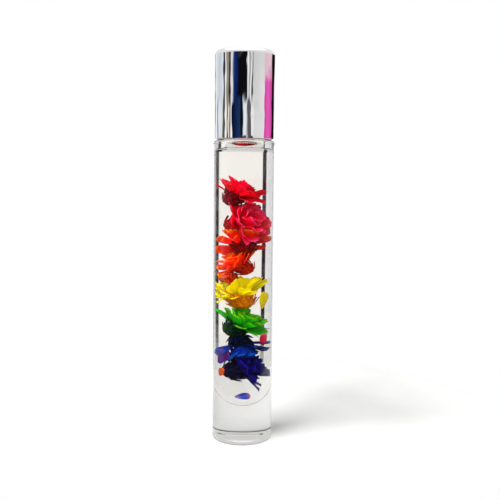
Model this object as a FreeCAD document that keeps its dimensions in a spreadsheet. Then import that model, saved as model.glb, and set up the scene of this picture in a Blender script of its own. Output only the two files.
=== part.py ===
"""Roll-on perfume bottle, in millimetres.

A thick glass vial is filled with clear oil in which dyed flower heads float. A soft plastic housing plugs into its
neck and holds a steel ball in a snap socket. A bright metal cap with a threaded plastic liner screws over both.
The origin is the middle of the base, +Z runs up the bottle, and the front faces -Y.
"""
import FreeCAD, Part
import math
import os
from collections import namedtuple

import Sketcher

DRIVING_SIZES = {
    # glass vial
    "bore_diameter": 10.9,
    "glass_wall": 3.05,
    "base_thickness": 9.6,
    "cavity_height": 72.3,
    "shoulder_wall": 2.0,
    "heel_rounding": 0.25,
    "shoulder_rounding": 0.9,
    "punt_diameter": 11.0,
    "punt_depth": 0.5,
    # screw neck
    "neck_bore": 7.0,
    "neck_wall": 2.2,
    "neck_height": 11.0,
    "neck_root_rounding": 0.4,
    "lip_rounding": 0.6,
    "thread_depth": 0.8,
    # oil and the air above it in the throat
    "oil_film_gap": 0.02,
    "oil_climb": 1.15,
    "bubble_depth": 1.1,
    # roller ball and its housing
    "ball_diameter": 8.0,
    "ball_clearance": 0.06,
    "seat_floor": 0.5,
    "cup_wall": 0.9,
    "cup_rounding": 0.4,
    "snap_lip_rise": 1.5,
    "flange_setback": 0.5,
    "flange_thickness": 0.9,
    "plug_length": 6.5,
    "plug_clearance": 0.08,
    "plug_lead_in": 0.5,
    "plug_bead_width": 0.8,
    "plug_bead_bite": 0.05,
    "feed_bore": 3.4,
    "feed_slot_width": 0.7,
    "feed_slot_reach": 0.9,
    "feed_slot_depth": 0.4,
    "feed_slot_count": 4,
    # sealing wad
    "wad_thickness": 1.2,
    "wad_clearance": 0.1,
    "wad_catch": 0.4,
    # threaded liner
    "thread_clearance": 0.2,
    "liner_wall": 0.77,
    "liner_roof": 1.0,
    "liner_setback": 0.4,
    "liner_lead_in": 0.3,
    "liner_rib_height": 0.25,
    "liner_rib_width": 0.8,
    "liner_rib_count": 16,
    "crown_rib_height": 1.71,
    "crown_rib_width": 0.9,
    "crown_rib_count": 3,
    # metal shell
    "cap_gap": 0.3,
    "shell_fit": 0.03,
    "shell_wall": 0.5,
    "shell_rim_rounding": 0.15,
    "shell_inner_rounding": 0.9,
    # flower heads and loose petals
    "flower_wall_gap": 0.25,
    "calyx_diameter": 3.0,
    "calyx_height": 2.4,
    "calyx_dome": 0.5,
    "petal_root_width": 0.6,
    "petal_width": 1.7,
    "petal_tip_width": 0.3,
    "petal_thickness": 0.24,
    "outer_petal_rise": 1.4,
    "inner_petal_rise": 2.2,
    "outer_petal_count": 9,
    "inner_petal_count": 6,
    "loose_petal_length": 2.8,
    "loose_petal_rise": 0.4,
}

doc = FreeCAD.newDocument("roll_on_bottle")
sheet = doc.addObject("Spreadsheet::Sheet", "Sizes")
for row, (alias, number) in enumerate(DRIVING_SIZES.items(), start=1):
    sheet.set(f"A{row}", alias)
    sheet.set(f"B{row}", str(number))
    sheet.setAlias(f"B{row}", alias)
doc.recompute()

sub_parts = []


class Size:
    """A length that follows the sheet: its value now, and the formula that ties it there."""

    def __init__(self, value, formula):
        self.value = value
        self.formula = formula

    def __add__(self, other):
        return Size(self.value + as_size(other).value, f"({self.formula} + {as_size(other).formula})")

    def __sub__(self, other):
        return Size(self.value - as_size(other).value, f"({self.formula} - {as_size(other).formula})")

    def __mul__(self, other):
        return Size(self.value * as_size(other).value, f"({self.formula} * {as_size(other).formula})")

    def __truediv__(self, other):
        return Size(self.value / as_size(other).value, f"({self.formula} / {as_size(other).formula})")

    def __neg__(self):
        return Size(-self.value, f"(-{self.formula})")

    def root(self):
        """The square root, as for a side of a right-angled triangle."""
        return Size(math.sqrt(self.value), f"sqrt({self.formula})")


def as_size(number):
    """A Size as it is, or a plain ratio or zero written as one."""
    return number if isinstance(number, Size) else Size(float(number), f"({number!r})")


def size(alias):
    """The driving size with this name in the sheet."""
    return Size(float(sheet.get(alias)), f"Sizes.{alias}")


def arc_radius(half_chord, rise):
    """Radius of the arc that rises this far over twice the half chord."""
    return (half_chord * half_chord + rise * rise) / (rise * 2)


def keep(feature, label):
    """Names a finished sub-part, whose label is also its file's name."""
    feature.Label = label
    sub_parts.append(feature)
    return feature


def new_body(label):
    """An empty body for one sub-part."""
    return keep(doc.addObject("PartDesign::Body", label), label)


def datum(body, role):
    """The body's own origin plane or axis with this role."""
    return next(feature for feature in body.Origin.OriginFeatures if feature.Role == role)


def pin_corner(sketch, curve, end, across, up):
    """Ties one end of a sketched curve to its two coordinates."""
    for place, kind, axis_line in ((across, "DistanceX", -2), (up, "DistanceY", -1)):
        if place.value == 0:
            sketch.addConstraint(Sketcher.Constraint("PointOnObject", curve, end, axis_line))
        else:
            index = sketch.addConstraint(Sketcher.Constraint(kind, curve, end, place.value))
            sketch.setExpression(f"Constraints[{index}]", place.formula)


def sketch_outline(body, name, plane, corners, offset=None):
    """Draws a closed outline on a plane of the body.

    A corner is (across, up), or (across, up, radius) where an arc of that radius leads to the next corner: positive
    if it turns left, negative if it turns right.
    """
    sketch = body.newObject("Sketcher::SketchObject", name)
    sketch.AttachmentSupport = [(datum(body, plane), "")]
    sketch.MapMode = "FlatFace"
    if offset is not None:
        sketch.setExpression("AttachmentOffset.Base.z", offset.formula)
    places = [(as_size(corner[0]), as_size(corner[1])) for corner in corners]
    points = [FreeCAD.Vector(across.value, up.value, 0) for across, up in places]
    ends = []
    for index, corner in enumerate(corners):
        start = points[index]
        finish = points[(index + 1) % len(points)]
        if len(corner) == 2:
            sketch.addGeometry(Part.LineSegment(start, finish))
            ends.append((1, 2))
            continue
        radius = abs(corner[2].value)
        side = math.copysign(1, corner[2].value)
        chord = finish - start
        left = FreeCAD.Vector(-chord.y, chord.x, 0).normalize() * side
        centre = (start + finish) / 2 + left * math.sqrt(max(radius**2 - (chord.Length / 2) ** 2, 0))
        first, last = (start, finish) if side > 0 else (finish, start)
        angles = [math.atan2(point.y - centre.y, point.x - centre.x) for point in (first, last)]
        circle = Part.Circle(centre, FreeCAD.Vector(0, 0, 1), radius)
        sketch.addGeometry(Part.ArcOfCircle(circle, *angles))
        ends.append((1, 2) if side > 0 else (2, 1))
    for index in range(len(corners)):
        following = (index + 1) % len(corners)
        joint = Sketcher.Constraint("Coincident", index, ends[index][1], following, ends[following][0])
        sketch.addConstraint(joint)
    for index, corner in enumerate(corners):
        pin_corner(sketch, index, ends[index][0], *places[index])
        if len(corner) == 3:
            bend = corner[2] if corner[2].value > 0 else -corner[2]
            constraint = sketch.addConstraint(Sketcher.Constraint("Radius", index, bend.value))
            sketch.setExpression(f"Constraints[{constraint}]", bend.formula)
    return sketch


def revolve(body, name, corners):
    """Turns an outline of (radius, height) corners about the bottle's axis."""
    sketch = sketch_outline(body, f"{name}_outline", "XZ_Plane", corners)
    feature = body.newObject("PartDesign::Revolution", name)
    feature.Profile = sketch
    feature.ReferenceAxis = (sketch, ["V_Axis"])
    feature.Angle = 360
    return feature


def pad(body, name, corners, base, height):
    """Raises an outline of (x, y) corners from the base height."""
    feature = body.newObject("PartDesign::Pad", name)
    feature.Profile = sketch_outline(body, f"{name}_outline", "XY_Plane", corners, base)
    feature.setExpression("Length", height.formula)
    return feature


def polar(body, name, original, count):
    """Repeats a feature round the body's axis, as many times as the sheet says."""
    pattern = body.newObject("PartDesign::PolarPattern", name)
    pattern.Originals = [original]
    pattern.Axis = (datum(body, "Z_Axis"), [""])
    pattern.Angle = 360
    pattern.setExpression("Occurrences", count.formula)
    body.Tip = pattern
    return pattern


def place(feature, x, y, z, rotation=FreeCAD.Rotation()):
    """Puts a sub-part at a place that follows the sheet."""
    feature.Placement = FreeCAD.Placement(FreeCAD.Vector(0, 0, 0), rotation)
    for axis, position in zip("xyz", (x, y, z)):
        feature.setExpression(f"Placement.Base.{axis}", as_size(position).formula)


# Heights and radii that several pieces share
bore_radius = size("bore_diameter") / 2
glass_radius = bore_radius + size("glass_wall")
cavity_floor = size("base_thickness")
cavity_ceiling = cavity_floor + size("cavity_height")
shoulder = cavity_ceiling + size("shoulder_wall")
neck_bore_radius = size("neck_bore") / 2
neck_radius = neck_bore_radius + size("neck_wall")
neck_top = shoulder + size("neck_height")
ball_radius = size("ball_diameter") / 2
socket_radius = ball_radius + size("ball_clearance")
ball_centre = neck_top + size("seat_floor") + socket_radius
wad_bottom = ball_centre + ball_radius + size("wad_clearance")
wad_top = wad_bottom + size("wad_thickness")
liner_bore_radius = neck_radius + size("thread_depth") + size("thread_clearance")
liner_core_radius = liner_bore_radius + size("liner_wall")
liner_ceiling = wad_top + size("wad_clearance")
liner_top = liner_ceiling + size("liner_roof")
cap_rim = shoulder + size("cap_gap")
liner_rim = cap_rim + size("liner_setback")
shell_bore_radius = liner_core_radius + size("liner_rib_height") + size("shell_fit")
shell_ceiling = liner_top + size("crown_rib_height") + size("shell_fit")

# The cavity's shoulder: its two roundings share the step from the bore to the neck
SHOULDER_ROUNDING_SHARE = 0.6
MOUTH_ROUNDING_SHARE = 0.2
shoulder_step = bore_radius - neck_bore_radius
cavity_rounding = shoulder_step * SHOULDER_ROUNDING_SHARE
mouth_rounding = shoulder_step * MOUTH_ROUNDING_SHARE


def make_glass_bottle():
    """Blown vial with a heavy base, a shallow punt, a round-bottomed cavity and the neck."""
    punt_radius = size("punt_diameter") / 2
    punt_depth = size("punt_depth")
    heel = size("heel_rounding")
    edge = size("shoulder_rounding")
    root = size("neck_root_rounding")
    lip = size("lip_rounding")
    revolve(
        new_body("glass_bottle"),
        "glass",
        [
            (0, punt_depth, -arc_radius(punt_radius, punt_depth)),
            (punt_radius, 0),
            (glass_radius - heel, 0, heel),
            (glass_radius, heel),
            (glass_radius, shoulder - edge, edge),
            (glass_radius - edge, shoulder),
            (neck_radius + root, shoulder, -root),
            (neck_radius, shoulder + root),
            (neck_radius, neck_top - lip, lip),
            (neck_radius - lip, neck_top),
            (neck_bore_radius, neck_top),
            (neck_bore_radius, cavity_ceiling + mouth_rounding, mouth_rounding),
            (neck_bore_radius + mouth_rounding, cavity_ceiling),
            (bore_radius - cavity_rounding, cavity_ceiling, -cavity_rounding),
            (bore_radius, cavity_ceiling - cavity_rounding),
            (bore_radius, cavity_floor + bore_radius, -bore_radius),
            (0, cavity_floor),
        ],
    )


def make_perfume_oil(contents):
    """The fill: it follows the cavity's wall up into the neck's throat and goes round what floats in it.

    The air between it and the roller's plug ends in a round bottom, which hollows the oil's top.
    """
    gap = size("oil_film_gap")
    oil_radius = bore_radius - gap
    throat_radius = neck_bore_radius - gap
    oil_rim = cavity_ceiling + size("oil_climb")
    bubble_depth = size("bubble_depth")
    fill = doc.addObject("PartDesign::Body", "oil_fill")
    revolve(
        fill,
        "fill",
        [
            (0, cavity_floor + gap, oil_radius),
            (oil_radius, cavity_floor + bore_radius),
            (oil_radius, cavity_ceiling - cavity_rounding, cavity_rounding - gap),
            (bore_radius - cavity_rounding, cavity_ceiling - gap),
            (neck_bore_radius + mouth_rounding, cavity_ceiling - gap, -(mouth_rounding + gap)),
            (throat_radius, cavity_ceiling + mouth_rounding),
            (throat_radius, oil_rim, -arc_radius(throat_radius, bubble_depth)),
            (0, oil_rim - bubble_depth),
        ],
    )
    immersed = doc.addObject("Part::Compound", "immersed")
    immersed.Links = contents
    oil = keep(doc.addObject("Part::Cut", "perfume_oil"), "perfume_oil")
    oil.Base = fill
    oil.Tool = immersed


def make_roller_housing():
    """Soft plastic fitment: a ringed plug for the neck, a flange on the lip and the ball's snap socket.

    The socket reaches past the ball's middle, so its lip holds the ball in. Slots in the seat feed oil to the ball.
    """
    plug_radius = neck_bore_radius - size("plug_clearance")
    plug_end = neck_top - size("plug_length")
    lead_in = size("plug_lead_in")
    bead_width = size("plug_bead_width")
    bead_rise = size("plug_clearance") + size("plug_bead_bite")
    bead_bend = arc_radius(bead_width / 2, bead_rise)
    flange_radius = neck_radius - size("flange_setback")
    flange_top = neck_top + size("flange_thickness")
    cup_radius = socket_radius + size("cup_wall")
    cup_edge = size("cup_rounding")
    lip_rise = size("snap_lip_rise")
    lip_height = ball_centre + lip_rise
    lip_radius = (socket_radius * socket_radius - lip_rise * lip_rise).root()
    feed_radius = size("feed_bore") / 2
    seat_drop = (socket_radius * socket_radius - feed_radius * feed_radius).root()
    bead_height_shares = (0.4, 0.75)

    outline = [
        (feed_radius, plug_end),
        (plug_radius - lead_in, plug_end),
        (plug_radius, plug_end + lead_in),
    ]
    for share in bead_height_shares:
        bead_middle = plug_end + size("plug_length") * share
        outline.append((plug_radius, bead_middle - bead_width / 2, bead_bend))
        outline.append((plug_radius, bead_middle + bead_width / 2))
    outline += [
        (plug_radius, neck_top),
        (flange_radius, neck_top),
        (flange_radius, flange_top),
        (cup_radius, flange_top),
        (cup_radius, lip_height - cup_edge, cup_edge),
        (cup_radius - cup_edge, lip_height),
        (lip_radius, lip_height, -socket_radius),
        (feed_radius, ball_centre - seat_drop),
    ]
    body = new_body("roller_housing")
    revolve(body, "housing", outline)
    doc.recompute()
    whole_volume = body.Shape.Volume

    slot_floor = ball_centre - seat_drop - size("feed_slot_depth")
    slot_end = feed_radius + size("feed_slot_reach")
    half_slot = size("feed_slot_width") / 2
    slot = body.newObject("PartDesign::Pocket", "feed_slot")
    slot.Profile = sketch_outline(
        body,
        "feed_slot_outline",
        "XY_Plane",
        [(0, -half_slot), (slot_end, -half_slot), (slot_end, half_slot), (0, half_slot)],
        slot_floor,
    )
    slot.Reversed = True
    slot.setExpression("Length", socket_radius.formula)
    polar(body, "feed_slots", slot, size("feed_slot_count"))
    doc.recompute()
    if body.Shape.Volume >= whole_volume:
        raise RuntimeError("the feed slots cut nothing")


def make_roller_ball():
    """Steel ball, free to roll in its socket."""
    ball = keep(doc.addObject("Part::Sphere", "roller_ball"), "roller_ball")
    ball.setExpression("Radius", ball_radius.formula)
    place(ball, 0, 0, ball_centre)


def make_cap_wad():
    """Soft disc that seals on the ball. It lies loose between the liner's roof and its catch ring."""
    wad = keep(doc.addObject("Part::Cylinder", "cap_wad"), "cap_wad")
    wad.setExpression("Radius", (liner_bore_radius - size("wad_clearance")).formula)
    wad.setExpression("Height", size("wad_thickness").formula)
    place(wad, 0, 0, wad_bottom)


def make_cap_liner():
    """Threaded inner cap: ribs on its wall and crown grip the shell, and a ring in its bore traps the wad."""
    catch = size("wad_catch")
    catch_top = wad_bottom - size("wad_clearance")
    lead_in = size("liner_lead_in")
    body = new_body("cap_liner")
    revolve(
        body,
        "liner",
        [
            (liner_bore_radius + lead_in, liner_rim),
            (liner_core_radius, liner_rim),
            (liner_core_radius, liner_top),
            (0, liner_top),
            (0, liner_ceiling),
            (liner_bore_radius, liner_ceiling),
            (liner_bore_radius, catch_top),
            (liner_bore_radius - catch, catch_top - catch),
            (liner_bore_radius, catch_top - catch * 2),
            (liner_bore_radius, liner_rim + lead_in),
        ],
    )
    rib_root = liner_bore_radius + size("liner_wall") / 2
    rib_crest = liner_core_radius + size("liner_rib_height")
    half_rib = size("liner_rib_width") / 2
    rib = pad(
        body,
        "wall_rib",
        [(rib_root, -half_rib), (rib_crest, -half_rib), (rib_crest, half_rib), (rib_root, half_rib)],
        liner_rim,
        liner_top - liner_rim,
    )
    polar(body, "wall_ribs", rib, size("liner_rib_count"))

    crown_rib_share = 0.85
    reach = liner_core_radius * crown_rib_share
    half_crown = size("crown_rib_width") / 2
    crown = pad(
        body,
        "crown_rib",
        [(0, -half_crown), (reach, -half_crown), (reach, half_crown), (0, half_crown)],
        liner_top,
        size("crown_rib_height"),
    )
    polar(body, "crown_ribs", crown, size("crown_rib_count"))


def make_cap_shell():
    """Drawn metal cup over the liner, with a rounded crown and a dulled rim."""
    wall = size("shell_wall")
    rim = size("shell_rim_rounding")
    inner = size("shell_inner_rounding")
    outer = inner + wall
    cap_radius = shell_bore_radius + wall
    cap_top = shell_ceiling + wall
    revolve(
        new_body("cap_shell"),
        "shell",
        [
            (shell_bore_radius, cap_rim),
            (cap_radius - rim, cap_rim, rim),
            (cap_radius, cap_rim + rim),
            (cap_radius, cap_top - outer, outer),
            (cap_radius - outer, cap_top),
            (0, cap_top),
            (0, shell_ceiling),
            (shell_bore_radius - inner, shell_ceiling, -inner),
            (shell_bore_radius, shell_ceiling - inner),
        ],
    )


# A petal's cross-sections from root to tip: how far out and how high each lies
PETAL_REACH_SHARES = (0, 0.45, 0.8, 1)
PETAL_RISE_SHARES = (0, 0.5, 0.9, 1)
# The third section's width, as a share of the widest
PETAL_TAPER_SHARE = 0.72


def loft_petal(body, name, root, tip, scale_share):
    """Lofts one petal from root to tip, each (radius, height), along the body's X axis."""
    widths = (
        size("petal_root_width"),
        size("petal_width"),
        size("petal_width") * PETAL_TAPER_SHARE,
        size("petal_tip_width"),
    )
    half_thick = size("petal_thickness") / 2 * scale_share
    sections = []
    for reach_share, rise_share, width in zip(PETAL_REACH_SHARES, PETAL_RISE_SHARES, widths):
        radius = root[0] + (tip[0] - root[0]) * reach_share
        height = root[1] + (tip[1] - root[1]) * rise_share
        half_width = width / 2 * scale_share
        corners = [
            (-half_width, height - half_thick),
            (half_width, height - half_thick),
            (half_width, height + half_thick),
            (-half_width, height + half_thick),
        ]
        section = sketch_outline(body, f"{name}_section", "YZ_Plane", corners, radius)
        sections.append(section)
    petal = body.newObject("PartDesign::AdditiveLoft", name)
    petal.Profile = sections[0]
    petal.Sections = sections[1:]
    return petal


def leaning(lean, heading, turn):
    """Turns a flower about its own axis, then leans that axis from upright towards a heading, in degrees."""
    across = math.radians(heading + 90)
    lean_axis = FreeCAD.Vector(math.cos(across), math.sin(across), 0)
    return FreeCAD.Rotation(lean_axis, lean) * FreeCAD.Rotation(FreeCAD.Vector(0, 0, 1), turn)


# Flower heads from the top of the bottle down. Sizes are shares of the sheet's flower, heights of the cavity's
# height above its floor, and sideways places of the bore's radius: right, then away from the front. The lean from
# upright, its heading from the right and the turn about the flower's own axis are in degrees.
Flower = namedtuple("Flower", "label size_share height_share right_share back_share lean heading turn")
FLOWER_PLACE_SHARES = (
    Flower("crimson_flower", 1, 0.831, -0.2, 0, 35, 0, 10),
    Flower("rose_flower", 1, 0.725, 0, 0.1, 65, 340, 25),
    Flower("scarlet_flower", 1, 0.637, 0.04, 0, 15, 200, 0),
    Flower("orange_flower", 1, 0.5525, -0.08, 0, 45, 180, 15),
    Flower("amber_flower", 0.5, 0.503, -0.44, -0.26, 35, 190, 0),
    Flower("yellow_flower", 1, 0.43, -0.08, 0, 35, 175, 5),
    Flower("green_flower", 1, 0.322, -0.2, 0, 35, 0, 20),
    Flower("blue_flower", 1, 0.24, -0.06, 0, 165, 0, 0),
    Flower("indigo_flower", 1, 0.125, -0.05, 0, 70, 0, 15),
)
# How much of the free bore a full-sized flower spans, and how far out its inner petals reach
FLOWER_SPAN_SHARE = 0.86
INNER_REACH_SHARE = 0.58
# Where petals root in the calyx, as shares of its radius and its height
PETAL_ROOT_SHARE = 0.6
PETAL_SINK_SHARE = 0.1
# The calyx's foot and belly, as shares of its radius and its height
CALYX_FOOT_SHARE = 0.45
CALYX_BELLY_SHARE = 0.3
CALYX_BEND_SHARE = 1.4


def make_flower(flower):
    """Dried flower head: a cup-shaped calyx with a low dome and two rings of petals."""
    share = flower.size_share
    calyx_radius = size("calyx_diameter") / 2 * share
    calyx_height = size("calyx_height") * share
    foot = calyx_radius * CALYX_FOOT_SHARE
    dome = size("calyx_dome") * share
    body = new_body(flower.label)
    revolve(
        body,
        "calyx",
        [
            (0, -calyx_height),
            (foot, -calyx_height, calyx_height * CALYX_BEND_SHARE),
            (calyx_radius, -(calyx_height * CALYX_BELLY_SHARE)),
            (calyx_radius, 0, arc_radius(calyx_radius, dome)),
            (0, dome),
        ],
    )
    reach = (bore_radius - size("flower_wall_gap")) * (FLOWER_SPAN_SHARE * share)
    root_radius = calyx_radius * PETAL_ROOT_SHARE
    sink = -(calyx_height * PETAL_SINK_SHARE)
    outer_tip = (reach, size("outer_petal_rise") * share)
    outer = loft_petal(body, "outer_petal", (root_radius, sink), outer_tip, share)
    polar(body, "outer_petals", outer, size("outer_petal_count"))
    inner_tip = (reach * INNER_REACH_SHARE, size("inner_petal_rise") * share)
    inner = loft_petal(body, "inner_petal", (root_radius, as_size(0)), inner_tip, share)
    polar(body, "inner_petals", inner, size("inner_petal_count"))
    place(
        body,
        bore_radius * flower.right_share,
        bore_radius * flower.back_share,
        cavity_floor + size("cavity_height") * flower.height_share,
        leaning(flower.lean, flower.heading, flower.turn),
    )
    return body


# Petals that came off: sizes are shares of the sheet's loose petal, places are as for the flowers, and here the
# lean is of the petal's upper face
LoosePetal = namedtuple("LoosePetal", "label size_share height_share right_share back_share lean heading turn")
PETAL_PLACE_SHARES = (
    LoosePetal("yellow_petal", 1.8, 0.385, 0.7, -0.25, 90, 330, 150),
    LoosePetal("pink_petal", 1.2, 0.238, 0.66, -0.38, 90, 290, 110),
    LoosePetal("violet_petal", 1.6, 0.157, -0.78, -0.25, 90, 250, 25),
    LoosePetal("tangerine_petal", 1, 0.115, -0.7, -0.42, 90, 230, 20),
    LoosePetal("cobalt_petal", 1.2, 0.035, -0.28, -0.1, 70, 270, 5),
)


def make_loose_petal(petal):
    """A single petal that drifts in the oil."""
    share = petal.size_share
    body = new_body(petal.label)
    tip = (size("loose_petal_length") * share, size("loose_petal_rise") * share)
    loft_petal(body, "petal", (as_size(0), as_size(0)), tip, share)
    place(
        body,
        bore_radius * petal.right_share,
        bore_radius * petal.back_share,
        cavity_floor + size("cavity_height") * petal.height_share,
        leaning(petal.lean, petal.heading, petal.turn),
    )
    return body


make_glass_bottle()
flowers = [make_flower(flower) for flower in FLOWER_PLACE_SHARES]
loose_petals = [make_loose_petal(petal) for petal in PETAL_PLACE_SHARES]
make_perfume_oil(flowers + loose_petals)
make_roller_housing()
make_roller_ball()
make_cap_wad()
make_cap_liner()
make_cap_shell()

doc.recompute()
for item in doc.Objects:
    if "Invalid" in item.State or "Error" in item.State:
        raise RuntimeError(f"{item.Label} failed: {item.State}")
for part in sub_parts:
    if part.Shape.isNull() or not part.Shape.isValid() or len(part.Shape.Solids) != 1:
        raise RuntimeError(f"{part.Label} isn't one valid solid")

os.makedirs("parts", exist_ok=True)
for part in sub_parts:
    part.Shape.exportStep(f"parts/{part.Label}.step")
    print(part.Label, round(part.Shape.Volume, 2), "mm3")
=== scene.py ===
import math
import random

import bpy
from mathutils import Matrix, Vector, noise


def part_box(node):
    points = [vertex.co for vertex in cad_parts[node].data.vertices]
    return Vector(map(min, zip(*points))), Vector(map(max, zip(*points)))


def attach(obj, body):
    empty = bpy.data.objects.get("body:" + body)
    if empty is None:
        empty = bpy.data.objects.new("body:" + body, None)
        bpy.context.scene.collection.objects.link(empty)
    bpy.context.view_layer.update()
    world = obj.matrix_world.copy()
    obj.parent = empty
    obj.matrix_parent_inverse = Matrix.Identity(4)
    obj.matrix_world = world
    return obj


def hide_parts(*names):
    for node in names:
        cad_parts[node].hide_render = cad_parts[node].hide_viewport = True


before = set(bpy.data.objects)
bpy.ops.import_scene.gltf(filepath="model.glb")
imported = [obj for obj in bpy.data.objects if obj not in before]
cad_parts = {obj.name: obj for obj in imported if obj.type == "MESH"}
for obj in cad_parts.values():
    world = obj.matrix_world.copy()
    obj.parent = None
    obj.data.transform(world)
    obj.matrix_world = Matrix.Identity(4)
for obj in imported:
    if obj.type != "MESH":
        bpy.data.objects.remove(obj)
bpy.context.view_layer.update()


# Glass vial. Clear flint glass with a thick wall, a heavy base, a shallow punt and a heel that looks dark:
# the heel's glass is tinted dark as painted shade, standing in for the contact shadow seen through it.
# The cavity has a round bottom, and a neck with one raised screw thread stands on the square shoulder.
# The oil wets the inside, so the wall shows there only as far as glass and oil bend light differently.
oil_low, oil_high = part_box("perfume_oil")
vial_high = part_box("glass_bottle")[1]
oil_film = 0.00002
vial_radius = vial_high.x
bore_radius = oil_high.x + oil_film
cavity_floor = oil_low.z - oil_film
cavity_ceiling = 0.0819
neck_top = vial_high.z
shoulder = 0.0839
neck_radius = 0.0057
neck_bore = 0.0035
punt_radius = 0.0055
punt_depth = 0.0005
heel_rounding = 0.00025
shoulder_rounding = 0.0009
neck_root = 0.0004
lip_rounding = 0.0006
mouth_rounding = 0.00039
cavity_rounding = 0.00117
oil_climb = 0.00115
thread_rise = 0.00075
thread_lead = 0.0254 / 12
thread_half_width = 0.0006
thread_run_out = 0.2
neck_thread_foot = 0.0872
neck_thread_turns = 2.2
weld = 1e-7
round_steps = 160
glass_bends = 1.52
oil_bends = 1.47


def arc(centre, radius, start, end, steps):
    """Points of an arc in the plane of radius and height, its angles in degrees from straight outwards."""
    angles = [math.radians(start + (end - start) * step / steps) for step in range(steps + 1)]
    return [(centre[0] + radius * math.cos(angle), centre[1] + radius * math.sin(angle)) for angle in angles]


def straight(start, end, steps):
    """Evenly spaced points of a straight run, without its two ends."""
    shares = [step / steps for step in range(1, steps)]
    across, along = end[0] - start[0], end[1] - start[1]
    return [(start[0] + across * share, start[1] + along * share) for share in shares]


def turn_on_axis(name, outline, steps):
    """Draws an outline of (radius, height) point by point and spins it round the bottle's axis."""
    bpy.ops.object.select_all(action="DESELECT")
    bpy.ops.mesh.primitive_plane_add(size=bore_radius)
    piece = bpy.context.object
    piece.name = name
    bpy.ops.object.mode_set(mode="EDIT")
    bpy.ops.mesh.merge(type="CENTER")
    bpy.ops.transform.translate(value=(outline[0][0], 0, outline[0][1]))
    for here, there in zip(outline, outline[1:]):
        step = (there[0] - here[0], 0, there[1] - here[1])
        bpy.ops.mesh.extrude_region_move(TRANSFORM_OT_translate={"value": step})
    bpy.ops.mesh.select_all(action="SELECT")
    bpy.ops.mesh.spin(steps=steps, angle=math.tau, center=(0, 0, 0), axis=(0, 0, 1))
    bpy.ops.mesh.select_all(action="SELECT")
    bpy.ops.mesh.remove_doubles(threshold=weld)
    bpy.ops.mesh.normals_make_consistent(inside=False)
    bpy.ops.object.mode_set(mode="OBJECT")
    return piece


def raise_thread(piece, wall_radius, rise, foot, turns):
    """Moves a plain wall's points into one right-hand ridge: outwards, or inwards for a negative rise."""
    for vertex in piece.data.vertices:
        radius = math.hypot(vertex.co.x, vertex.co.y)
        if abs(radius - wall_radius) > weld:
            continue
        round_share = math.atan2(vertex.co.y, vertex.co.x) / math.tau % 1
        lift = 0
        for whole_turn in range(math.ceil(turns)):
            along = whole_turn + round_share
            ends = min(along, turns - along) / thread_run_out
            off_crest = abs(vertex.co.z - foot - along * thread_lead) / thread_half_width
            flank = max(0, min(1, (1 - off_crest) * 1.6, ends))
            lift = max(lift, flank * flank * (3 - 2 * flank))
        vertex.co.x *= (radius + rise * lift) / radius
        vertex.co.y *= (radius + rise * lift) / radius


def smooth(piece, crease):
    """Shades a piece smooth, apart from edges sharper than the crease angle, with large faces kept true."""
    bpy.ops.object.select_all(action="DESELECT")
    piece.select_set(True)
    bpy.context.view_layer.objects.active = piece
    bpy.ops.object.shade_smooth_by_angle(angle=math.radians(crease))
    bpy.ops.object.modifier_add(type="WEIGHTED_NORMAL")
    piece.modifiers[-1].keep_sharp = True
    bpy.ops.object.modifier_apply(modifier=piece.modifiers[-1].name)


class Wire:
    """One output of a node. Sums of wires and numbers add Math nodes beside it."""

    def __init__(self, finish, output):
        self.finish = finish
        self.output = output

    def math(self, operation, first, second=0):
        return self.finish.node("ShaderNodeMath", {"operation": operation}, {0: first, 1: second})

    def __add__(self, other):
        return self.math("ADD", self, other)

    def __radd__(self, other):
        return self.math("ADD", other, self)

    def __sub__(self, other):
        return self.math("SUBTRACT", self, other)

    def __rsub__(self, other):
        return self.math("SUBTRACT", other, self)

    def __mul__(self, other):
        return self.math("MULTIPLY", self, other)

    def __rmul__(self, other):
        return self.math("MULTIPLY", other, self)

    def __truediv__(self, other):
        return self.math("DIVIDE", self, other)

    def __rtruediv__(self, other):
        return self.math("DIVIDE", other, self)


class Finish:
    """The nodes of one material, or of the world."""

    def __init__(self, owner):
        owner.use_nodes = True
        self.owner = owner
        self.tree = owner.node_tree
        self.tree.nodes.clear()

    def node(self, kind, settings, sockets, output=0):
        """Adds a node, sets it up, feeds its sockets with wires or values and gives one of its outputs."""
        made = self.tree.nodes.new(kind)
        for key, value in settings.items():
            if key == "stops":
                self.set_stops(made.color_ramp, value)
            else:
                setattr(made, key, value)
        for key, value in sockets.items():
            if isinstance(value, Wire):
                self.tree.links.new(value.output, made.inputs[key])
            else:
                made.inputs[key].default_value = value
        return Wire(self, made.outputs[output]) if made.outputs else None

    def set_stops(self, ramp, stops):
        while len(ramp.elements) < len(stops):
            ramp.elements.new(1)
        for element, (place, colour) in zip(ramp.elements, stops):
            element.position = place
            element.color = (*colour, 1)

    def here(self):
        """The point on the piece, in the object's own coordinates."""
        return self.node("ShaderNodeTexCoord", {}, {}, "Object")

    def cloud(self, scale, detail=3, stretch=(1, 1, 1)):
        """Soft noise from 0 to 1, with features about 1/scale metres apart, drawn out along an axis."""
        stretched = self.node("ShaderNodeMapping", {}, {"Vector": self.here(), "Scale": stretch})
        return self.node("ShaderNodeTexNoise", {}, {"Vector": stretched, "Scale": scale, "Detail": detail})

    def between(self, share, low, high):
        """A number that runs from low to high as the share runs from 0 to 1."""
        return share * (high - low) + low

    def bump(self, height, strength, depth):
        return self.node("ShaderNodeBump", {}, {"Height": height, "Strength": strength, "Distance": depth})

    def principled(self, **sockets):
        named = {key.replace("_", " "): value for key, value in sockets.items()}
        return self.node("ShaderNodeBsdfPrincipled", {}, named)

    def show(self, shader):
        self.node("ShaderNodeOutputMaterial", {}, {"Surface": shader})
        return self.owner


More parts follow.
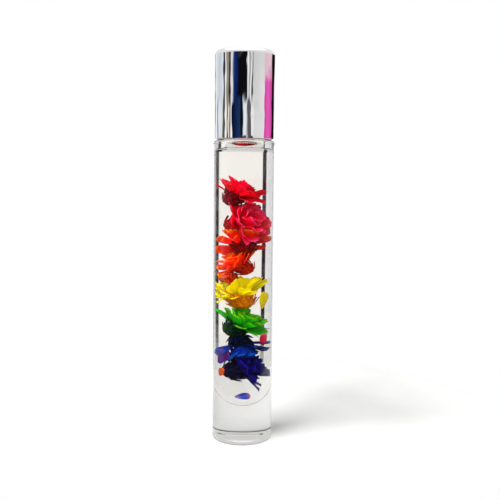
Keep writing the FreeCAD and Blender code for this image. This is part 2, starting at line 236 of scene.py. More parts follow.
def clear_finish(name, tint, bends, waviness, lamp_share):
    """A clear finish that bends light, lets a share of a lamp's light through and has faint waves."""
    finish = Finish(bpy.data.materials.new(name))
    drawn_waves = finish.cloud(400, 2, (1, 1, 0.12))
    skin = finish.bump(drawn_waves, waviness, 0.00002)
    haze = finish.between(finish.cloud(900), 0, 0.012)
    body = finish.principled(
        Base_Color=(*tint, 1), Roughness=haze, IOR=bends, Transmission_Weight=1, Normal=skin
    )
    lamp_tint = (lamp_share, lamp_share, lamp_share, 1)
    lamp_through = finish.node("ShaderNodeBsdfTransparent", {}, {"Color": lamp_tint})
    lamp_ray = finish.node("ShaderNodeLightPath", {}, {}, "Is Shadow Ray")
    return finish.show(finish.node("ShaderNodeMixShader", {}, {0: lamp_ray, 1: body, 2: lamp_through}))


def take_place(piece, node, body):
    """The piece stands for a node of the frame and moves with its body, and the node is hidden."""
    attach(piece, body)
    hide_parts(node)


punt_bend = (punt_radius ** 2 + punt_depth ** 2) / (2 * punt_depth)
punt_spread = math.degrees(math.asin(punt_radius / punt_bend))
neck_foot = (neck_radius, shoulder + neck_root)
neck_rim = (neck_radius, neck_top - lip_rounding)
oil_rim = cavity_ceiling + oil_climb
mouth_corner = (neck_bore + mouth_rounding, cavity_ceiling + mouth_rounding)
cavity_corner = (bore_radius - cavity_rounding, cavity_ceiling - cavity_rounding)
cavity_middle = (0, cavity_floor + bore_radius)
vial_outline = [
    *arc((0, punt_depth - punt_bend), punt_bend, 90, 90 - punt_spread, 8),
    *arc((vial_radius - heel_rounding, heel_rounding), heel_rounding, -90, 0, 6),
    *arc((vial_radius - shoulder_rounding, shoulder - shoulder_rounding), shoulder_rounding, 0, 90, 8),
    *arc((neck_radius + neck_root, shoulder + neck_root), neck_root, 270, 180, 5),
    *straight(neck_foot, neck_rim, 80),
    *arc((neck_radius - lip_rounding, neck_top - lip_rounding), lip_rounding, 0, 90, 6),
    (neck_bore, neck_top),
    (neck_bore, oil_rim),
    *arc(mouth_corner, mouth_rounding, 180, 270, 6),
    *arc(cavity_corner, cavity_rounding, 90, 0, 10),
    *arc(cavity_middle, bore_radius, 0, -90, 28),
]
vial = turn_on_axis("clear_vial", vial_outline, round_steps)
raise_thread(vial, neck_radius, thread_rise, neck_thread_foot, neck_thread_turns)
smooth(vial, 50)
vial.data.materials.append(clear_finish("flint_glass", (0.715, 0.715, 0.703), glass_bends, 0.2, 0.83))
vial.data.materials.append(clear_finish("oiled_glass", (1, 1, 1), glass_bends / oil_bends, 0, 0.98))
# The heel glass's dark tint is painted shade, standing in for the contact shadow seen through the heel.
vial.data.materials.append(clear_finish("heel_painted_shade_glass", (0.3, 0.24, 0.26), glass_bends, 1, 0.83))
for face in vial.data.polygons:
    off_axis = math.hypot(face.center.x, face.center.y)
    if off_axis < bore_radius and cavity_floor - weld < face.center.z < oil_rim:
        face.material_index = 1
    # Faces round the heel take the dark glass of painted shade.
    elif off_axis > vial_radius - heel_rounding and face.center.z < heel_rounding:
        face.material_index = 2
take_place(vial, "glass_bottle", "bottle")


# Perfume oil. A clear, faintly warm oil fills the cavity and climbs into the throat, with air under the plug.
# Its sides are wetted glass, so only the air's round bottom shows as a bright skin on the oil.
bubble_depth = 0.0011
throat_radius = neck_bore - oil_film
bubble_bend = (throat_radius ** 2 + bubble_depth ** 2) / (2 * bubble_depth)
bubble_spread = math.degrees(math.asin(throat_radius / bubble_bend))
oil_radius = bore_radius - oil_film
oil_outline = [
    *arc(cavity_middle, oil_radius, -90, 0, 28),
    *arc(cavity_corner, cavity_rounding - oil_film, 0, 90, 10),
    *arc(mouth_corner, mouth_rounding + oil_film, 270, 180, 6),
    *arc((0, oil_rim - bubble_depth + bubble_bend), bubble_bend, bubble_spread - 90, -90, 14),
]
oil = turn_on_axis("oil_fill", oil_outline, round_steps)
smooth(oil, 30)
oil.data.materials.append(clear_finish("clear_oil", (0.99, 0.978, 0.962), 1, 0, 0.98))
oil.data.materials.append(clear_finish("oil_skin", (1, 1, 1), oil_bends, 0, 0.98))
for face in oil.data.polygons:
    inside = math.hypot(face.center.x, face.center.y) < throat_radius - 2 * oil_film
    if inside and face.center.z > cavity_ceiling:
        face.material_index = 1
take_place(oil, "perfume_oil", "bottle")


# Flower heads. Small dried blooms, dyed in strong colours, float one above the other in the oil.
# Each has a bulbous calyx with scales, and rings of thin narrow petals with toothed tips, crinkled by drying.
petal_rows = 8
petal_columns = 6
petal_thickness = 0.00009
bloom_reach = 0.006
calyx_radius = 0.0018
calyx_height = 0.0029
bulb_middle_share = 0.42
bulb_round_share = 0.58
bulb_neck_share = 0.12
dome_drop_share = 1.2
bulb_lump = 0.0009
bulb_lump_depth = 0.0003
curl = 0.0011
curl_depth = 0.00016
fray = 0.0004
fray_depth = 0.00005
flower_gloss = 0.05
drying_seed = 3
wall_clearance = 0.00012
cavity_height = cavity_ceiling - cavity_floor
petal_widths = (0.2, 0.4, 0.62, 0.82, 0.95, 1, 0.97, 0.88, 0.7)
petal_rises = (0, 0.14, 0.3, 0.47, 0.64, 0.79, 0.91, 0.98, 1)
tip_teeth = (-0.26, 0.02, -0.18, 0.08, -0.15, 0.04, -0.28)
# rings on the calyx: count, shares of its radius and height, lean in degrees and length share
scale_rings = ((9, 0.72, -0.85, -48, 0.34), (11, 0.96, -0.45, -60, 0.38))
scale_gap_stray = 0.2
scale_lean_stray = 8
petal_rings = ((13, 0.6, -0.1, 14, 1), (12, 0.5, 0, 38, 0.92), (9, 0.35, 0.1, 62, 0.7))
petal_gap_stray = 0.25
petal_lean_stray = 14
petal_twist = 28
petal_length_shares = (0.85, 1.06)


def pick(piece, wanted):
    """Selects, in edit mode, the points that pass a test."""
    bpy.ops.mesh.select_all(action="DESELECT")
    bpy.ops.object.mode_set(mode="OBJECT")
    for vertex in piece.data.vertices:
        vertex.select = wanted(vertex)
    bpy.ops.object.mode_set(mode="EDIT")


def model_petal(name, width, rise, cup):
    """One petal of unit length along X: a narrow root at the origin, a broad toothed end, a hollow face."""
    bpy.ops.object.select_all(action="DESELECT")
    bpy.ops.mesh.primitive_grid_add(x_subdivisions=petal_rows, y_subdivisions=petal_columns, size=1)
    petal = bpy.context.object
    petal.name = name
    bpy.ops.object.mode_set(mode="EDIT")
    bpy.ops.mesh.select_mode(type="VERT")
    bpy.ops.transform.translate(value=(0.5, 0, 0))
    in_row = petal_rows + 1
    for row, (spread, climb) in enumerate(zip(petal_widths, petal_rises)):
        pick(petal, lambda vertex: vertex.index % in_row == row)
        bpy.ops.transform.translate(value=(0, 0, rise * climb))
        bpy.ops.transform.resize(value=(1, width * spread, 1), center_override=(0, 0, rise * climb))
    for column, tooth in enumerate(tip_teeth):
        pick(petal, lambda vertex: vertex.index == column * in_row + petal_rows)
        bpy.ops.transform.translate(value=(tooth, 0, 0))
        pick(petal, lambda vertex: vertex.index // in_row == column)
        bpy.ops.transform.translate(value=(0, 0, cup * (2 * column / petal_columns - 1) ** 2))
    bpy.ops.object.mode_set(mode="OBJECT")
    return petal


def copied(master, turned):
    """A copy of a piece with a mesh of its own, moved by a matrix."""
    twin = master.copy()
    twin.data = master.data.copy()
    twin.data.transform(turned)
    bpy.context.scene.collection.objects.link(twin)
    return twin


def joined(name, pieces):
    """Joins pieces into one, under a new name."""
    bpy.ops.object.select_all(action="DESELECT")
    for piece in pieces:
        piece.select_set(True)
    bpy.context.view_layer.objects.active = pieces[0]
    bpy.ops.object.join()
    pieces[0].name = name
    return pieces[0]


def apply_modifier(piece, kind, **settings):
    """Adds a modifier with these settings and applies it."""
    bpy.ops.object.select_all(action="DESELECT")
    piece.select_set(True)
    bpy.context.view_layer.objects.active = piece
    bpy.ops.object.modifier_add(type=kind)
    modifier = piece.modifiers[-1]
    for key, value in settings.items():
        setattr(modifier, key, value)
    bpy.ops.object.modifier_apply(modifier=modifier.name)


def leaning(lean, heading, turn):
    """Turns a bloom about its own axis, then leans that axis from upright towards a heading, in degrees."""
    across = math.radians(heading + 90)
    lean_axis = Vector((math.cos(across), math.sin(across), 0))
    spun = Matrix.Rotation(math.radians(turn), 4, "Z")
    return Matrix.Rotation(math.radians(lean), 4, lean_axis) @ spun


def keep_in_oil(piece):
    """Presses whatever would cross the glass wall back against it."""
    limit = bore_radius - wall_clearance
    for vertex in piece.data.vertices:
        middle = Vector((0, 0, max(vertex.co.z, cavity_middle[1])))
        off = vertex.co - middle
        if off.length > limit:
            vertex.co = middle + off.normalized() * limit


def crinkle(piece, size, depth):
    """Moves points a little, by a noise of the given size, as drying does."""
    for vertex in piece.data.vertices:
        vertex.co += noise.noise_vector(vertex.co / size) * depth


def petal_finish(name, root, middle, tip):
    """A dyed petal: the dye changes from root to tip, along veins, and light shines through."""
    finish = Finish(bpy.data.materials.new(name))
    along = finish.node("ShaderNodeTexCoord", {}, {}, "UV")
    split = {"Vector": along}
    length = finish.node("ShaderNodeSeparateXYZ", {}, split, "X")
    side = finish.node("ShaderNodeSeparateXYZ", {}, split, "Y")
    blotch = finish.cloud(1500, 3)
    fine = finish.cloud(6000, 2)
    veins = length.math("SINE", side * 44 + blotch * 5)
    run = length + (blotch - 0.5) * 0.5 + veins * 0.05
    stops = [(0, root), (0.42, middle), (0.72, middle), (1, tip)]
    dye = finish.node("ShaderNodeValToRGB", {"stops": stops}, {"Fac": run})
    depth = finish.between(fine, 0.75, 1.15)
    shaded = finish.node(
        "ShaderNodeVectorMath", {"operation": "SCALE"}, {0: dye, "Scale": depth}
    )
    skin = finish.bump(veins * 0.5 + fine, 0.35, 0.00006)
    face = finish.principled(
        Base_Color=shaded,
        Roughness=finish.between(blotch, 0.4, 0.65),
        Specular_IOR_Level=flower_gloss,
        Normal=skin,
    )
    glow = finish.node("ShaderNodeBsdfTranslucent", {}, {"Color": (*middle, 1)})
    return finish.show(finish.node("ShaderNodeMixShader", {}, {0: 0.6, 1: face, 2: glow}))


def calyx_finish(name, dark, light):
    """The dyed calyx: dark, with paler ridges where the dye took less."""
    finish = Finish(bpy.data.materials.new(name))
    ridges = finish.cloud(2600, 4)
    dye = finish.node("ShaderNodeValToRGB", {"stops": [(0.35, dark), (0.75, light)]}, {"Fac": ridges})
    skin = finish.bump(ridges, 0.6, 0.00012)
    rough = finish.between(ridges, 0.5, 0.75)
    return finish.show(
        finish.principled(Base_Color=dye, Roughness=rough, Specular_IOR_Level=flower_gloss, Normal=skin)
    )


def make_bloom(name, share, seed, masters, petal_dye, calyx_dye):
    """One bloom at the origin, its axis along Z and its rim at height zero."""
    draw = random.Random(seed)
    radius = calyx_radius * share
    height = calyx_height * share
    reach = bloom_reach * share
    bulb_outline = [
        (0, -height),
        *arc((0, -height * bulb_middle_share), height * bulb_round_share, -80, -10, 8),
        (radius, -height * bulb_neck_share),
        *arc((0, -radius * dome_drop_share), math.hypot(radius, radius * dome_drop_share), 52, 90, 5),
    ]
    bulb = turn_on_axis(f"{name}_bulb", bulb_outline, 24)
    bulb.data.materials.append(calyx_dye)
    crinkle(bulb, bulb_lump * share, bulb_lump_depth * share)
    scales = []
    petals = []
    for count, root, foot, lean, length in scale_rings:
        for number in range(count):
            place = number + draw.uniform(-scale_gap_stray, scale_gap_stray)
            aim = Matrix.Rotation(math.tau * place / count, 4, "Z")
            out = Matrix.Translation((radius * root, 0, height * foot))
            slope = lean + draw.uniform(-scale_lean_stray, scale_lean_stray)
            tilt = Matrix.Rotation(math.radians(slope), 4, "Y")
            scale = copied(masters[1], aim @ out @ tilt @ Matrix.Scale(reach * length, 4))
            scale.data.materials.append(calyx_dye)
            scales.append(scale)
    for count, root, foot, lean, length in petal_rings:
        for number in range(count):
            place = number + draw.uniform(-petal_gap_stray, petal_gap_stray)
            aim = Matrix.Rotation(math.tau * place / count, 4, "Z")
            out = Matrix.Translation((radius * root, 0, height * foot))
            slope = lean + draw.uniform(-petal_lean_stray, petal_lean_stray)
            tilt = Matrix.Rotation(-math.radians(slope), 4, "Y")
            twist = Matrix.Rotation(math.radians(draw.uniform(-petal_twist, petal_twist)), 4, "X")
            size = Matrix.Scale((reach * length - radius * root) * draw.uniform(*petal_length_shares), 4)
            petal = copied(draw.choice(masters), aim @ out @ tilt @ twist @ size)
            petal.data.materials.append(petal_dye)
            petals.append(petal)
    leaves = joined(f"{name}_leaves", petals + scales)
    crinkle(leaves, curl * share, curl_depth * share)
    apply_modifier(leaves, "SOLIDIFY", thickness=petal_thickness, offset=0)
    apply_modifier(leaves, "SUBSURF", levels=1, render_levels=1)
    crinkle(leaves, fray * share, fray_depth * share)
    bloom = joined(name, [leaves, bulb])
    bpy.ops.object.shade_smooth()
    return bloom


noise.seed_set(drying_seed)
petal_masters = [
    model_petal("broad_petal", 0.62, 0.12, 0.07),
    model_petal("narrow_petal", 0.38, 0.05, 0.05),
    model_petal("curled_petal", 0.52, 0.22, 0.08),
]
# dye, shares of size, height, right and back, then lean, heading and turn in degrees,
# and colours: petal root, middle and tip, calyx dark and light
blooms = (
    ("crimson", 1.1, 0.82, -0.27, 0, 38, 0, 10,
     (0.6, 0, 0.006), (0.97, 0.001, 0.03), (1, 0.02, 0.14), (0.06, 0, 0.001), (0.28, 0, 0.004)),
    ("rose", 1.2, 0.713, -0.1, 0.05, 62, 330, 25,
     (0.8, 0, 0.006), (0.97, 0.002, 0.06), (1, 0.12, 0.45), (0.2, 0, 0.002), (0.5, 0, 0.008)),
    ("scarlet", 1.1, 0.632, 0, 0, 38, 115, 0,
     (0.8, 0, 0.001), (0.97, 0.02, 0.001), (1, 0.5, 0.01), (0.05, 0, 0), (0.28, 0.001, 0)),
    ("orange", 1, 0.552, -0.08, 0, 45, 180, 15,
     (0.8, 0.004, 0), (0.97, 0.06, 0), (1, 0.4, 0.01), (0.25, 0.003, 0), (0.7, 0.03, 0)),
    ("amber", 0.6, 0.505, -0.66, -0.22, 80, 350, 0,
     (0.5, 0.004, 0), (0.8, 0.03, 0), (0.9, 0.12, 0.002), (0.35, 0.03, 0), (0.75, 0.14, 0)),
    ("yellow", 1.35, 0.434, -0.12, 0, 20, 172, 5,
     (1, 0.55, 0), (1, 0.92, 0), (1, 0.98, 0.02), (0.5, 0.09, 0), (0.9, 0.34, 0)),
    ("green", 1.2, 0.316, -0.16, 0, 40, 0, 20,
     (0, 0.16, 0.004), (0.03, 0.7, 0.006), (0.5, 0.92, 0.01), (0, 0.004, 0.001), (0.003, 0.04, 0.006)),
    ("blue", 1.1, 0.246, -0.06, 0, 165, 0, 0,
     (0, 0.002, 0.03), (0.001, 0.02, 0.26), (0.004, 0.14, 0.7), (0, 0.001, 0.004), (0, 0.004, 0.03)),
    ("indigo", 1.3, 0.146, -0.08, 0, 62, 5, 15,
     (0.002, 0.001, 0.02), (0.01, 0.004, 0.3), (0.03, 0.012, 0.75), (0.001, 0.001, 0.003),
     (0.006, 0.003, 0.04)),
)
for seed, (dye, share, up, right, back, lean, heading, turn, *colours) in enumerate(blooms, start=3):
    root, middle, tip, calyx_dark, calyx_light = colours
    petal_dye = petal_finish(f"{dye}_petals", root, middle, tip)
    calyx_dye = calyx_finish(f"{dye}_calyx", calyx_dark, calyx_light)
    bloom = make_bloom(f"{dye}_bloom", share, seed, petal_masters, petal_dye, calyx_dye)
    spot = Vector((bore_radius * right, bore_radius * back, cavity_floor + cavity_height * up))
    bloom.data.transform(Matrix.Translation(spot) @ leaning(lean, heading, turn))
    keep_in_oil(bloom)
    take_place(bloom, f"{dye}_flower", "bottle")


# Loose petals. Five came off the blooms and drift in the oil or lie in the round bottom.
# Each is one thin dyed petal of the same kind as those on the blooms.
loose_length = 0.0028
# dye, shares of size, height, right and back, then lean, heading and turn in degrees, and root, middle, tip
loose_petals = (
    ("yellow", 1.8, 0.385, 0.7, -0.25, 90, 330, 150, (1, 0.6, 0), (1, 0.92, 0), (1, 0.96, 0.02)),
    ("pink", 1.3, 0.24, 0.77, -0.25, 90, 300, 115, (0.6, 0, 0.01), (0.97, 0.01, 0.1), (1, 0.35, 0.5)),
    ("violet", 1.7, 0.165, -0.88, -0.1, 90, 240, 35, (0.05, 0.005, 0.2), (0.16, 0.02, 0.36), (0.5, 0.1, 0.6)),
    ("tangerine", 1, 0.117, -0.86, -0.15, 90, 225, 20, (0.3, 0.01, 0), (0.9, 0.12, 0), (0.95, 0.3, 0.02)),
    ("cobalt", 1.2, 0.035, -0.28, -0.1, 70, 270, 5, (0.5, 0.35, 0.7), (0.01, 0.05, 0.5), (0.95, 0.2, 0.05)),
)
for dye, share, up, right, back, lean, heading, turn, root, middle, tip in loose_petals:
    spot = Vector((bore_radius * right, bore_radius * back, cavity_floor + cavity_height * up))
    petal = copied(petal_masters[0], Matrix.Scale(loose_length * share, 4))
    petal.name = f"{dye}_loose_petal"
    petal.data.materials.append(petal_finish(f"{dye}_loose", root, middle, tip))
    crinkle(petal, curl, curl_depth)
    apply_modifier(petal, "SOLIDIFY", thickness=petal_thickness, offset=0)
    apply_modifier(petal, "SUBSURF", levels=1, render_levels=1)
    bpy.ops.object.shade_smooth()
    petal.data.transform(Matrix.Translation(spot) @ leaning(lean, heading, turn))
    keep_in_oil(petal)
    take_place(petal, f"{dye}_petal", "bottle")
for master in petal_masters:
    bpy.data.objects.remove(master)


# Roller housing. A soft fitment moulded in natural polyethylene, which is milky and faintly waxy.
# It is pressed into the neck by its ringed plug, and its cup snaps over the ball.
housing_finish = Finish(bpy.data.materials.new("natural_polyethylene"))
flow = housing_finish.cloud(700, 3)
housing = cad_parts["roller_housing"]
housing_colour = housing_finish.node(
    "ShaderNodeValToRGB", {"stops": [(0.3, (0.8, 0.81, 0.8)), (0.7, (0.88, 0.88, 0.86))]}, {"Fac": flow}
)
housing.data.materials.clear()
housing.data.materials.append(
    housing_finish.show(
        housing_finish.principled(
            Base_Color=housing_colour,
            Roughness=housing_finish.between(flow, 0.3, 0.45),
            Subsurface_Weight=0.4,
            Subsurface_Radius=(0.001, 0.001, 0.0009),
            Normal=housing_finish.bump(housing_finish.cloud(9000, 2), 0.15, 0.00002),
        )
    )
)


# Roller ball. A hardened steel ball, ground and polished, which rolls in the housing's socket.
# It is held in by the socket's lip and stands proud of it to touch the skin.
ball_low, ball_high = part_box("roller_ball")
ball_radius = ball_high.x
ball_centre = (ball_low.z + ball_high.z) / 2
ball = turn_on_axis("rolling_ball", arc((0, ball_centre), ball_radius, -90, 90, 48), 96)
smooth(ball, 60)
ball_finish = Finish(bpy.data.materials.new("polished_steel"))
lapping = ball_finish.cloud(5000, 3)
ball_tone = ball_finish.node(
    "ShaderNodeValToRGB", {"stops": [(0.3, (0.6, 0.6, 0.61)), (0.7, (0.67, 0.67, 0.68))]}, {"Fac": lapping}
)
ball.data.materials.append(
    ball_finish.show(
        ball_finish.principled(
            Base_Color=ball_tone,
            Metallic=1,
            Roughness=ball_finish.between(lapping, 0.06, 0.12),
        )
    )
)
take_place(ball, "roller_ball", "ball")


# Sealing wad. A disc punched from white foam sheet, loose under the liner's roof, that seals on the ball.
# Its cells show as a fine pebbled skin.
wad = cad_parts["cap_wad"]
wad_finish = Finish(bpy.data.materials.new("wad_foam"))
cells = wad_finish.node("ShaderNodeTexVoronoi", {}, {"Vector": wad_finish.here(), "Scale": 4000})
wad_tone = wad_finish.node(
    "ShaderNodeValToRGB", {"stops": [(0.2, (0.86, 0.86, 0.85)), (0.7, (0.72, 0.72, 0.71))]}, {"Fac": cells}
)
wad.data.materials.clear()
wad.data.materials.append(
    wad_finish.show(
        wad_finish.principled(
            Base_Color=wad_tone,
            Roughness=wad_finish.between(cells, 0.6, 0.85),
            Normal=wad_finish.bump(cells, 0.5, 0.00005),
        )
    )
)


# Cap liner. The threaded inner cap, moulded in white polypropylene and pressed into the shell on its ribs.
# One thread ridge in its bore runs between the turns of the neck's, and a ring near its roof holds the wad.
liner_low, liner_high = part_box("cap_liner")
liner_bore = 0.0067
liner_core = 0.00747
liner_ceiling = 0.10486
liner_top = 0.10586
liner_lead_in = 0.0003
catch_top = 0.10346
catch_rise = 0.0004
liner_thread_top = 0.092
liner_thread_turns = 2
rib_count = 16
rib_rise = 0.00025
rib_width = 0.0008
rib_rounding = 0.0001
crown_rib_count = 3
crown_rib_reach = 0.00635
crown_rib_width = 0.0009


def model_rib(name, low, high):
    """A straight rib with softened edges, between two opposite corners."""
    bpy.ops.object.select_all(action="DESELECT")
    bpy.ops.mesh.primitive_cube_add(size=1)
    rib = bpy.context.object
    rib.name = name
    bpy.ops.object.mode_set(mode="EDIT")
    bpy.ops.mesh.select_all(action="SELECT")
    bpy.ops.transform.resize(value=Vector(high) - Vector(low))
    bpy.ops.transform.translate(value=(Vector(high) + Vector(low)) / 2)
    bpy.ops.mesh.bevel(offset=rib_rounding, segments=2, affect="EDGES")
    bpy.ops.object.mode_set(mode="OBJECT")
    return rib


liner_outline = [
    (liner_bore + liner_lead_in, liner_low.z),
    (liner_core, liner_low.z),
    (liner_core, liner_top),
    (0, liner_top),
    (0, liner_ceiling),
    (liner_bore, liner_ceiling),
    (liner_bore, catch_top),
    (liner_bore - catch_rise, catch_top - catch_rise),
    (liner_bore, catch_top - 2 * catch_rise),
    (liner_bore, liner_thread_top),
    *straight((liner_bore, liner_thread_top), (liner_bore, liner_low.z + liner_lead_in), 60),
    (liner_bore, liner_low.z + liner_lead_in),
    (liner_bore + liner_lead_in, liner_low.z),
]
liner = turn_on_axis("threaded_liner", liner_outline, round_steps)
raise_thread(liner, liner_bore, -thread_rise, neck_thread_foot - thread_lead / 2, liner_thread_turns)
wall_rib = model_rib(
    "wall_rib",
    (liner_bore, -rib_width / 2, liner_low.z),
    (liner_core + rib_rise, rib_width / 2, liner_top),
)
crown_rib = model_rib(
    "crown_rib",
    (0, -crown_rib_width / 2, liner_ceiling),
    (crown_rib_reach, crown_rib_width / 2, liner_high.z),
)
ribs = []
for master, count in ((wall_rib, rib_count), (crown_rib, crown_rib_count)):
    for number in range(count):
        ribs.append(copied(master, Matrix.Rotation(math.tau * number / count, 4, "Z")))
    bpy.data.objects.remove(master)
liner = joined("threaded_liner", [liner] + ribs)
smooth(liner, 40)
liner_finish = Finish(bpy.data.materials.new("white_polypropylene"))
gloss = liner_finish.cloud(500, 3)
liner_tone = liner_finish.node(
    "ShaderNodeValToRGB", {"stops": [(0.3, (0.8, 0.8, 0.79)), (0.7, (0.85, 0.85, 0.84))]}, {"Fac": gloss}
)
liner.data.materials.append(
    liner_finish.show(
        liner_finish.principled(Base_Color=liner_tone, Roughness=liner_finish.between(gloss, 0.25, 0.4))
    )
)
take_place(liner, "cap_liner", "cap")


# Cap shell. A tall cup deep-drawn from aluminium sheet, then brightened and clear-anodised to a mirror.
# Its crown has a small round edge and its rim is trimmed and rolled dull; the liner holds it from inside.
shell_low, shell_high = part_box("cap_shell")
shell_radius = shell_high.x
shell_bore = 0.00775
shell_wall = shell_radius - shell_bore
crown_rounding = 0.0014
rim_rounding = 0.00015
crown_inside = crown_rounding - shell_wall
shell_outline = [
    (shell_bore, shell_low.z),
    *arc((shell_radius - rim_rounding, shell_low.z + rim_rounding), rim_rounding, -90, 0, 5),
    *arc((shell_radius - crown_rounding, shell_high.z - crown_rounding), crown_rounding, 0, 90, 12),
    (0, shell_high.z),
    (0, shell_high.z - shell_wall),
    *arc((shell_bore - crown_inside, shell_high.z - crown_rounding), crown_inside, 90, 0, 6),
    (shell_bore, shell_low.z),
]
shell = turn_on_axis("bright_cap", shell_outline, 192)
smooth(shell, 40)
shell_finish = Finish(bpy.data.materials.new("bright_aluminium"))
drawing_lines = shell_finish.cloud(2500, 3, (1, 1, 0.02))
drawing_waves = shell_finish.cloud(260, 2, (1, 1, 0.3))
smudge = shell_finish.cloud(220, 4)
shell_tone = shell_finish.node(
    "ShaderNodeValToRGB", {"stops": [(0.3, (0.86, 0.87, 0.88)), (0.7, (0.92, 0.92, 0.92))]}, {"Fac": smudge}
)
shell.data.materials.append(
    shell_finish.show(
        shell_finish.principled(
            Base_Color=shell_tone,
            Metallic=1,
            Roughness=shell_finish.between(smudge, 0.01, 0.03),
            Normal=shell_finish.bump(drawing_waves + drawing_lines * 0.004, 1, 0.00015),
        )
    )
)
take_place(shell, "cap_shell", "cap")


# The set. A round pale table stands in rings of pale panels, with dark gaps and flags between some of them.
# A small soft lamp hangs at the upper left, in front, and a broad one fills in from above the camera.
# The camera looks slightly down on the bottle.
table_radius = 0.07
table_middle = (0.012, 0.015)
table_drop = 0.00002
bpy.ops.object.select_all(action="DESELECT")
bpy.ops.mesh.primitive_circle_add(
    vertices=96, radius=table_radius, fill_type="NGON", location=(*table_middle, -table_drop)
)
table = bpy.context.object
table.name = "table"
table_finish = Finish(bpy.data.materials.new("pale_table"))
grain = table_finish.cloud(60, 3)
table_tone = table_finish.node(
    "ShaderNodeValToRGB", {"stops": [(0.3, (0.3, 0.3, 0.297)), (0.7, (0.317, 0.317, 0.314))]}, {"Fac": grain}
)
table.data.materials.append(
    table_finish.show(table_finish.principled(Base_Color=table_tone, Roughness=0.9, Specular_IOR_Level=0.1))
)

world = bpy.data.worlds.new("set")
bpy.context.scene.world = world
room = Finish(world)
outward = room.node("ShaderNodeTexCoord", {}, {}, "Generated")
across = room.node("ShaderNodeSeparateXYZ", {}, {"Vector": outward}, "X")
away = room.node("ShaderNodeSeparateXYZ", {}, {"Vector": outward}, "Y")
up = room.node("ShaderNodeSeparateXYZ", {}, {"Vector": outward}, "Z")
round_share = across.math("ARCTAN2", across, 0 - away) / math.tau + 0.5


def panel_ring(panels):
    """Light round the set: angles in degrees from the camera's side, positive to the right, and colours."""
    stops = [((angle + 180) / 360, colour) for angle, colour in panels]
    return room.node("ShaderNodeValToRGB", {"stops": stops}, {"Fac": round_share})


def mixed(share, first, second):
    """The first light where the share is 0, and the second where it is 1."""
    return room.node("ShaderNodeMix", {"data_type": "RGBA"}, {"Factor": share, 6: first, 7: second}, 2)


def beyond(angle):
    """1 on the right of an angle from the camera's side, and 0 on its left."""
    return round_share.math("GREATER_THAN", round_share, 0.5 + angle / 360)


def stacked(lower, upper, height, start, end):
    """The lower light up to one height and the upper light from another, with a soft change between them."""
    share = room.node(
        "ShaderNodeMapRange",
        {"interpolation_type": "SMOOTHSTEP"},
        {"Value": height, "From Min": start, "From Max": end},
    )
    return mixed(share, lower, upper)


white = (1, 1, 1)
pale = (0.95, 0.94, 0.93)
warm = (1.315, 1.283, 1.245)
black = (0.004, 0.004, 0.006)
floor_ring = panel_ring((
    (-180, (0.95, 0.95, 0.93)), (-110, (0.95, 0.95, 0.93)), (-70, (0.06, 0.06, 0.06)),
    (70, (0.06, 0.06, 0.06)), (110, (0.95, 0.95, 0.93)),
))
table_ring = panel_ring((
    (-180, warm), (-159, warm), (-158, (1.3, 1.3, 1.3)), (-157, (1.3, 1.3, 1.3)),
    (-156.4, (0.02, 0.004, 0.02)), (-149.8, (0.03, 0.008, 0.025)), (-149.2, (1.14, 1.15, 1.18)),
    (-132, (0.84, 0.87, 0.92)), (-122, (0.08, 0.08, 0.09)), (-100, (0.08, 0.08, 0.09)),
    (-90, (0.75, 0.78, 0.82)), (-70, (0.3, 0.3, 0.3)), (-40, (0.05, 0.05, 0.06)), (40, (0.05, 0.05, 0.06)),
    (70, (0.15, 0.15, 0.15)), (100, (0.3, 0.27, 0.28)), (124, (0.7, 0.66, 0.68)), (134, (0.97, 0.99, 1.03)),
    (134.6, (0.05, 0.055, 0.055)), (138, (0.02, 0.02, 0.02)), (143.2, (0.01, 0.008, 0.006)),
    (144, (1.3, 1.3, 1.3)), (147, (1.3, 1.3, 1.3)), (148, warm),
))
low_ring = panel_ring((
    (-180, pale), (-156, pale), (-155, (0.03, 0.02, 0.02)), (-149, (0.03, 0.02, 0.02)), (-148, pale),
    (-129, (0.9, 0.92, 0.95)), (-127, (0.25, 0.38, 0.5)), (-119, (0.3, 0.42, 0.54)),
    (-117, (0.85, 0.86, 0.9)), (-94, (0.78, 0.78, 0.8)), (-91, (0.1, 0.1, 0.08)), (-81, (0.1, 0.1, 0.08)),
    (-79, white), (-73, white), (-71, (0.12, 0.07, 0.02)), (-66, (0.2, 0.12, 0.04)),
    (-64, (0.9, 0.85, 0.7)), (-60, (0.8, 0.75, 0.6)), (-58, (0.08, 0.06, 0.02)), (-55, (0.1, 0.08, 0.03)),
    (-53.5, white), (-49.5, white), (-48, black), (-38, (0.004, 0.012, 0.06)), (-20, (0.014, 0.035, 0.11)),
    (-13, black), (-9, black), (-7.5, (0.75, 0.85, 0.9)), (5, (0.85, 0.9, 0.95)), (9.5, (0.5, 0.46, 0.48)),
    (11, (0.12, 0.11, 0.12)), (20, (0.1, 0.09, 0.1)),
))
right_low_ring = panel_ring((
    (-180, black), (20, (0.1, 0.09, 0.1)), (23, (0.2, 0.17, 0.18)), (25, (0.95, 0.95, 0.95)),
    (34, (0.85, 0.86, 0.86)), (37, (0.74, 0.74, 0.73)), (77, (0.8, 0.8, 0.79)), (79.5, (0.85, 0.95, 0.9)),
    (82, (0.75, 0.05, 0.4)), (100, (0.82, 0.12, 0.5)), (123.5, (0.7, 0.06, 0.36)), (126, black),
    (150, black), (151.5, white), (180, pale),
))
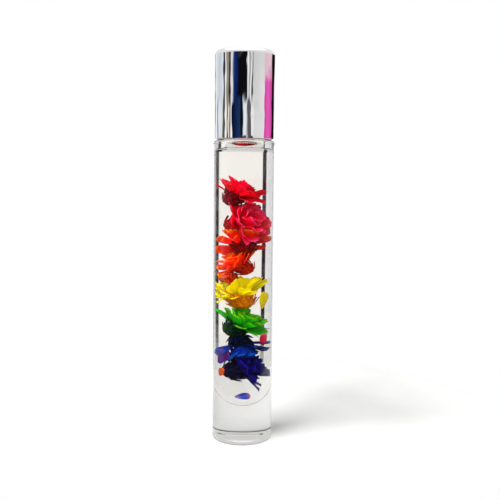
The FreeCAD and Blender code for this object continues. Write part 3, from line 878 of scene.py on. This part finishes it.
high_ring = panel_ring((
    (-180, pale), (-156, pale), (-155, (0.03, 0.02, 0.02)), (-149, (0.03, 0.02, 0.02)), (-148, pale),
    (-125, (0.7, 0.74, 0.8)), (-110, (0.6, 0.66, 0.74)), (-91, (0.8, 0.83, 0.88)),
    (-88, (0.03, 0.03, 0.04)), (-82, (0.04, 0.04, 0.05)), (-80, white), (-76, white),
    (-73, (0.35, 0.33, 0.3)), (-64, (0.3, 0.25, 0.2)), (-62, (0.02, 0.01, 0.006)),
    (-56, (0.03, 0.016, 0.01)), (-53, (0.85, 0.84, 0.82)), (-45, (0.7, 0.7, 0.7)), (-42, (0.05, 0.1, 0.3)),
    (-38, (0.006, 0.024, 0.16)), (-31, (0.005, 0.015, 0.09)), (-26, black), (7, black),
    (9, (0.95, 0.95, 0.95)), (12, (0.95, 0.95, 0.95)), (15, (0.42, 0.42, 0.42)), (20, (0.42, 0.42, 0.42)),
    (23, (0.95, 0.95, 0.95)), (26, (0.9, 0.9, 0.9)), (27, black),
))
right_high_ring = panel_ring((
    (-180, black), (27, black), (30, black), (31.5, (0.66, 0.66, 0.65)), (70, (0.74, 0.74, 0.73)),
    (78, (0.72, 0.7, 0.69)), (83, (0.8, 0.55, 0.64)), (115, (0.85, 0.6, 0.68)), (124, (0.7, 0.5, 0.56)),
    (126, black), (158, black), (160, white), (180, pale),
))
# A ramp has room for 32 stops, so the two upper rings are each made of two ramps.
low_whole = mixed(beyond(20), low_ring, right_low_ring)
high_whole = mixed(beyond(27.5), high_ring, right_high_ring)
right_half = beyond(60)
# What is seen through the bottle towards the camera's side is as warm as what is seen through it from there.
aside = across.math("ABSOLUTE", round_share - 0.5)
front_share = room.node("ShaderNodeMapRange", {}, {"Value": aside, "From Min": 0.33, "From Max": 0.3})
through_ray = room.node("ShaderNodeLightPath", {}, {}, "Is Transmission Ray")
set_light = stacked(floor_ring, table_ring, up, -0.3, -0.2)
set_light = mixed(front_share * through_ray, set_light, (*warm, 1))
set_light = stacked(set_light, low_whole, up, 0.037, 0.044)
set_light = stacked(set_light, high_whole, up - right_half * 0.035, 0.08, 0.11)
set_light = stacked(set_light, (0.82, 0.82, 0.81, 1), up, 0.165, 0.22)
set_light = stacked(set_light, (1.4, 1.4, 1.4, 1), up, 0.6, 0.85)
camera_ray = room.node("ShaderNodeLightPath", {}, {}, "Is Camera Ray")
backdrop = mixed(camera_ray, set_light, (*white, 1))
light = room.node("ShaderNodeBackground", {}, {"Color": backdrop, "Strength": 1})
room.node("ShaderNodeOutputWorld", {}, {"Surface": light})

lamp_aim = Vector((0, 0, 0.03))
for lamp_name, lamp_place, lamp_width, lamp_depth, lamp_energy in (
    ("key_lamp", Vector((-0.168, -0.114, 0.46)), 0.17, 0.12, 6.2),
    ("fill_lamp", Vector((-0.1, -0.42, 0.4)), 0.45, 0.45, 4.4),
):
    lamp_data = bpy.data.lights.new(lamp_name, "AREA")
    lamp_data.shape = "RECTANGLE"
    lamp_data.size = lamp_width
    lamp_data.size_y = lamp_depth
    lamp_data.energy = lamp_energy
    lamp = bpy.data.objects.new(lamp_name, lamp_data)
    lamp.location = lamp_place
    lamp.rotation_euler = (lamp_aim - lamp_place).to_track_quat("-Z", "Y").to_euler()
    lamp.visible_glossy = False
    lamp.visible_transmission = False
    bpy.context.scene.collection.objects.link(lamp)

camera_place = Vector((0, -0.20019, 0.07536))
camera_dip = 0.1083
camera_swing = 0.0093
camera_roll = 0.01
camera_data = bpy.data.cameras.new("camera")
camera_data.lens = 51.68
camera_data.sensor_width = 36
camera_data.clip_start = 0.01
camera = bpy.data.objects.new("camera", camera_data)
aim = Matrix.Rotation(-camera_swing, 4, "Z") @ Matrix.Rotation(math.pi / 2 - camera_dip, 4, "X")
camera.matrix_world = Matrix.Translation(camera_place) @ aim @ Matrix.Rotation(camera_roll, 4, "Z")
bpy.context.scene.collection.objects.link(camera)
bpy.context.scene.camera = camera
bpy.context.scene.view_settings.view_transform = "Standard"
